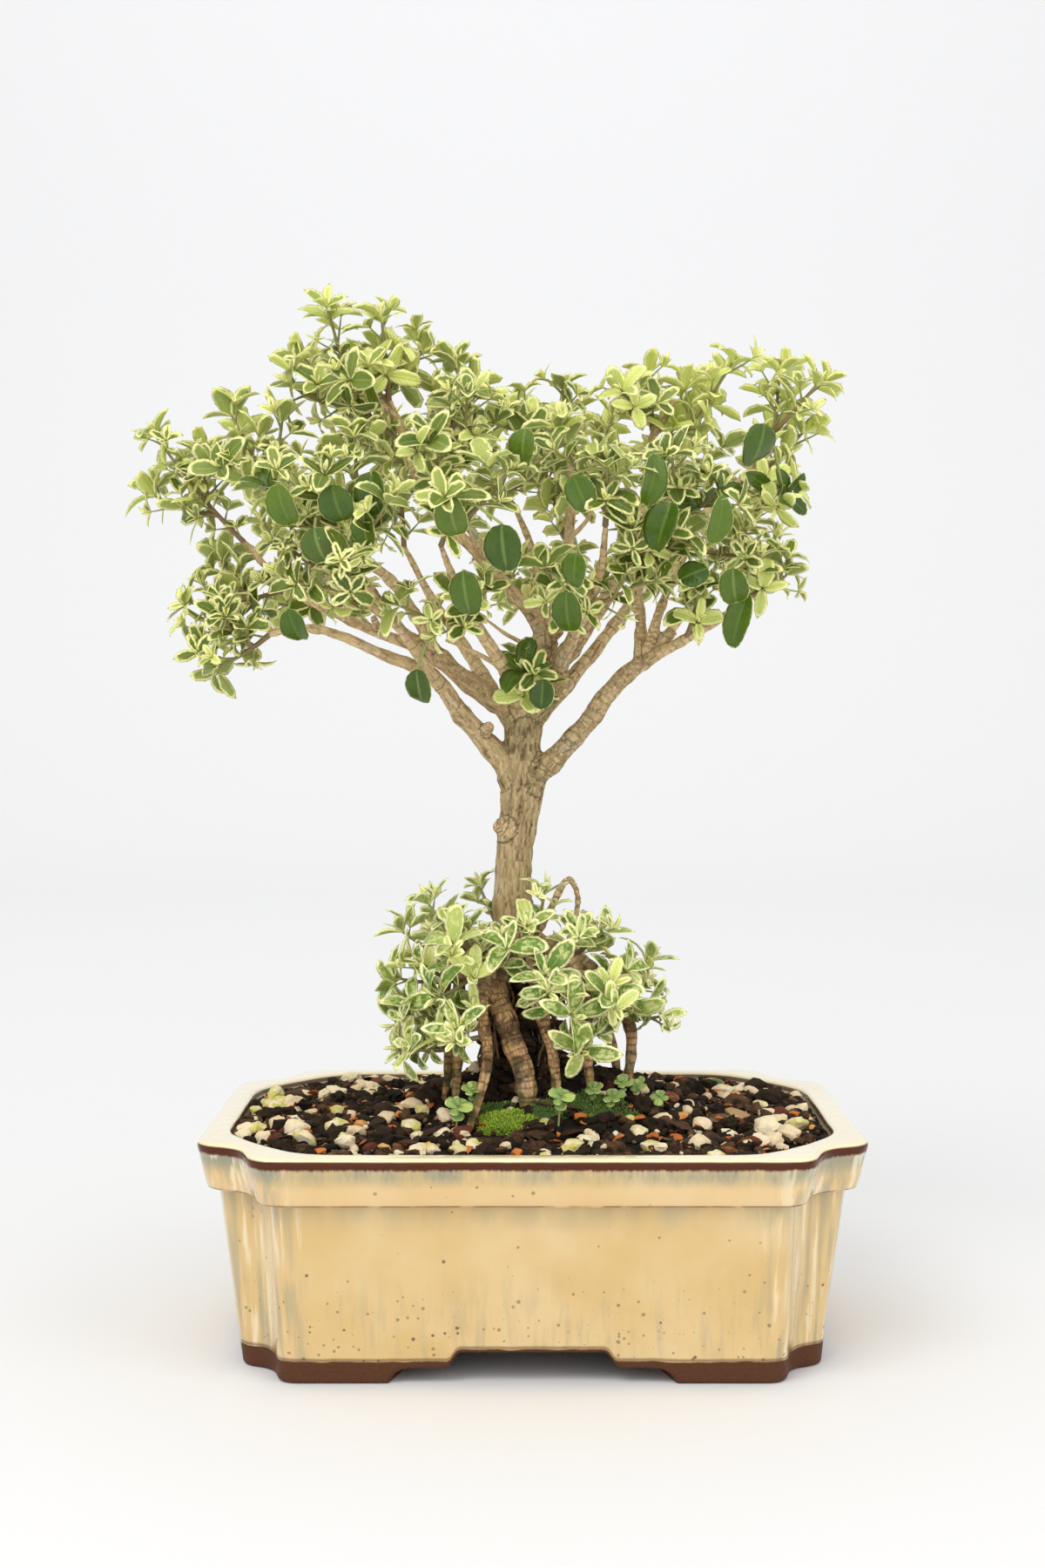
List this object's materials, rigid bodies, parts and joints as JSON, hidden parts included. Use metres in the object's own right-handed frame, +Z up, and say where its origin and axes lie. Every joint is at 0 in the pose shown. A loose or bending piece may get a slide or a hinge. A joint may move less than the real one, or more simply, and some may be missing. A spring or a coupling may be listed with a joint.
{
  "type": "variegated serissa bonsai in a glazed pot",
  "caption": "Small variegated serissa (snow rose) tree on exposed roots, with leafy suckers at its foot, in gravelly soil in a cream glazed rectangular bonsai pot with notched corners.",
  "frame": {"origin": "middle of the plant's and pot's footprint, on the surface that the pot stands on", "axes": "+Z up the trunk; the pot's long sides lie along X and the front of the tree faces -Y"},
  "size_m": [0.2388, 0.1544, 0.3351],
  "materials": {
    "glaze": "glossy cream glaze with brown breaks",
    "screen": "matte",
    "soil": "rough granular",
    "bark": "rough fissured bark",
    "canopy_leaf": "satin, cream-yellow margins",
    "sucker_leaf": "satin, cream margins",
    "seedling_leaf": "satin",
    "moss": "matte, soft"
  },
  "bodies": {
    "root": {"pot": "glaze", "drain_screen_left": "screen", "drain_screen_right": "screen", "soil_and_gravel": "soil", "trunk_branches_and_roots": "bark", "moss_cushion": "moss", "seedling_front": "seedling_leaf", "seedling_left": "seedling_leaf", "spray_left_tip": "canopy_leaf", "spray_left_mid": "canopy_leaf", "spray_left_low": "canopy_leaf", "spray_upper_left": "canopy_leaf", "spray_crown_left": "canopy_leaf", "spray_crown": "canopy_leaf", "spray_crown_right": "canopy_leaf", "spray_mid_top": "canopy_leaf", "spray_top_centre": "canopy_leaf", "spray_top_right": "canopy_leaf", "spray_right_long": "canopy_leaf", "spray_right_crown": "canopy_leaf", "spray_right_tip": "canopy_leaf", "spray_right_mid": "canopy_leaf", "spray_right_low": "canopy_leaf", "spray_right_under": "canopy_leaf", "spray_front_left": "canopy_leaf", "spray_front_left_low": "canopy_leaf", "spray_front_mid_left": "canopy_leaf", "spray_front_mid": "canopy_leaf", "spray_front_mid_low": "canopy_leaf", "spray_front_centre": "canopy_leaf", "spray_front_low_right": "canopy_leaf", "spray_front_right": "canopy_leaf", "spray_front_right_out": "canopy_leaf", "spray_front_right_low": "canopy_leaf", "spray_rosette": "canopy_leaf", "spray_back_left": "canopy_leaf", "spray_back_left_low": "canopy_leaf", "spray_back_mid_left": "canopy_leaf", "spray_back_mid": "canopy_leaf", "spray_back_low": "canopy_leaf", "spray_back_top": "canopy_leaf", "spray_back_top_right": "canopy_leaf", "spray_back_right": "canopy_leaf", "spray_back_right_low": "canopy_leaf", "spray_back_right_out": "canopy_leaf", "sucker_tall_left": "sucker_leaf", "sucker_left_out": "sucker_leaf", "sucker_left": "sucker_leaf", "sucker_left_low": "sucker_leaf", "sucker_front_left": "sucker_leaf", "sucker_front": "sucker_leaf", "sucker_front_mid": "sucker_leaf", "sucker_trunk_left": "sucker_leaf", "sucker_trunk_right": "sucker_leaf", "sucker_right": "sucker_leaf", "sucker_right_out": "sucker_leaf", "sucker_right_low": "sucker_leaf", "sucker_back_left": "sucker_leaf", "sucker_back": "sucker_leaf", "sucker_back_right": "sucker_leaf"}
  },
  "joints": []
}
